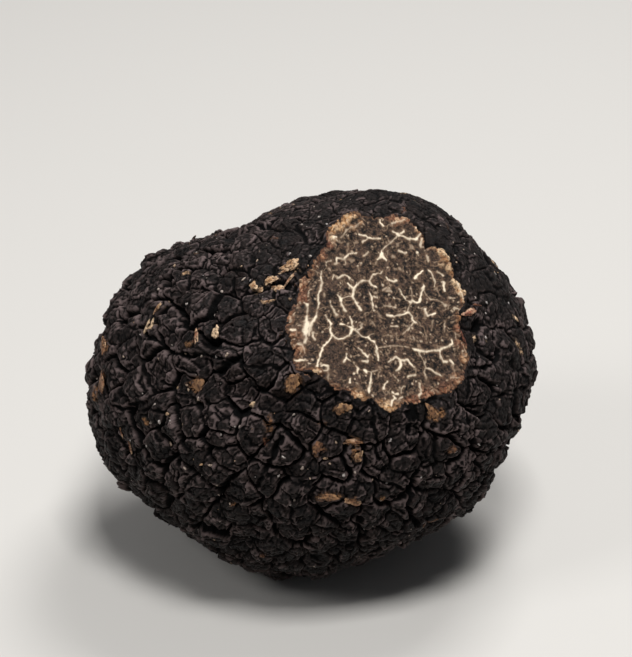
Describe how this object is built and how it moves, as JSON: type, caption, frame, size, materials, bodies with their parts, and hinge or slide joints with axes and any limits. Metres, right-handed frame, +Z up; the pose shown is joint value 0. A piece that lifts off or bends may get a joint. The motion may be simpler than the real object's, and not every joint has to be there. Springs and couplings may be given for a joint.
{
  "type": "black truffle",
  "caption": "Lobed, roughly egg-shaped fungus with a skin of polygonal warts, shaved flat on its upper front to show its veined flesh, resting on a small flat spot.",
  "frame": {"origin": "on the resting surface, under the middle of the bounding box", "axes": "+Z up, +X along the longest side, and the shaved cut faces -Y and up, a little to +X"},
  "size_m": [0.0532, 0.0471, 0.0433],
  "materials": {
    "peridium": "matte",
    "gleba": "matte"
  },
  "bodies": {
    "root": {"truffle": "peridium"}
  },
  "joints": []
}
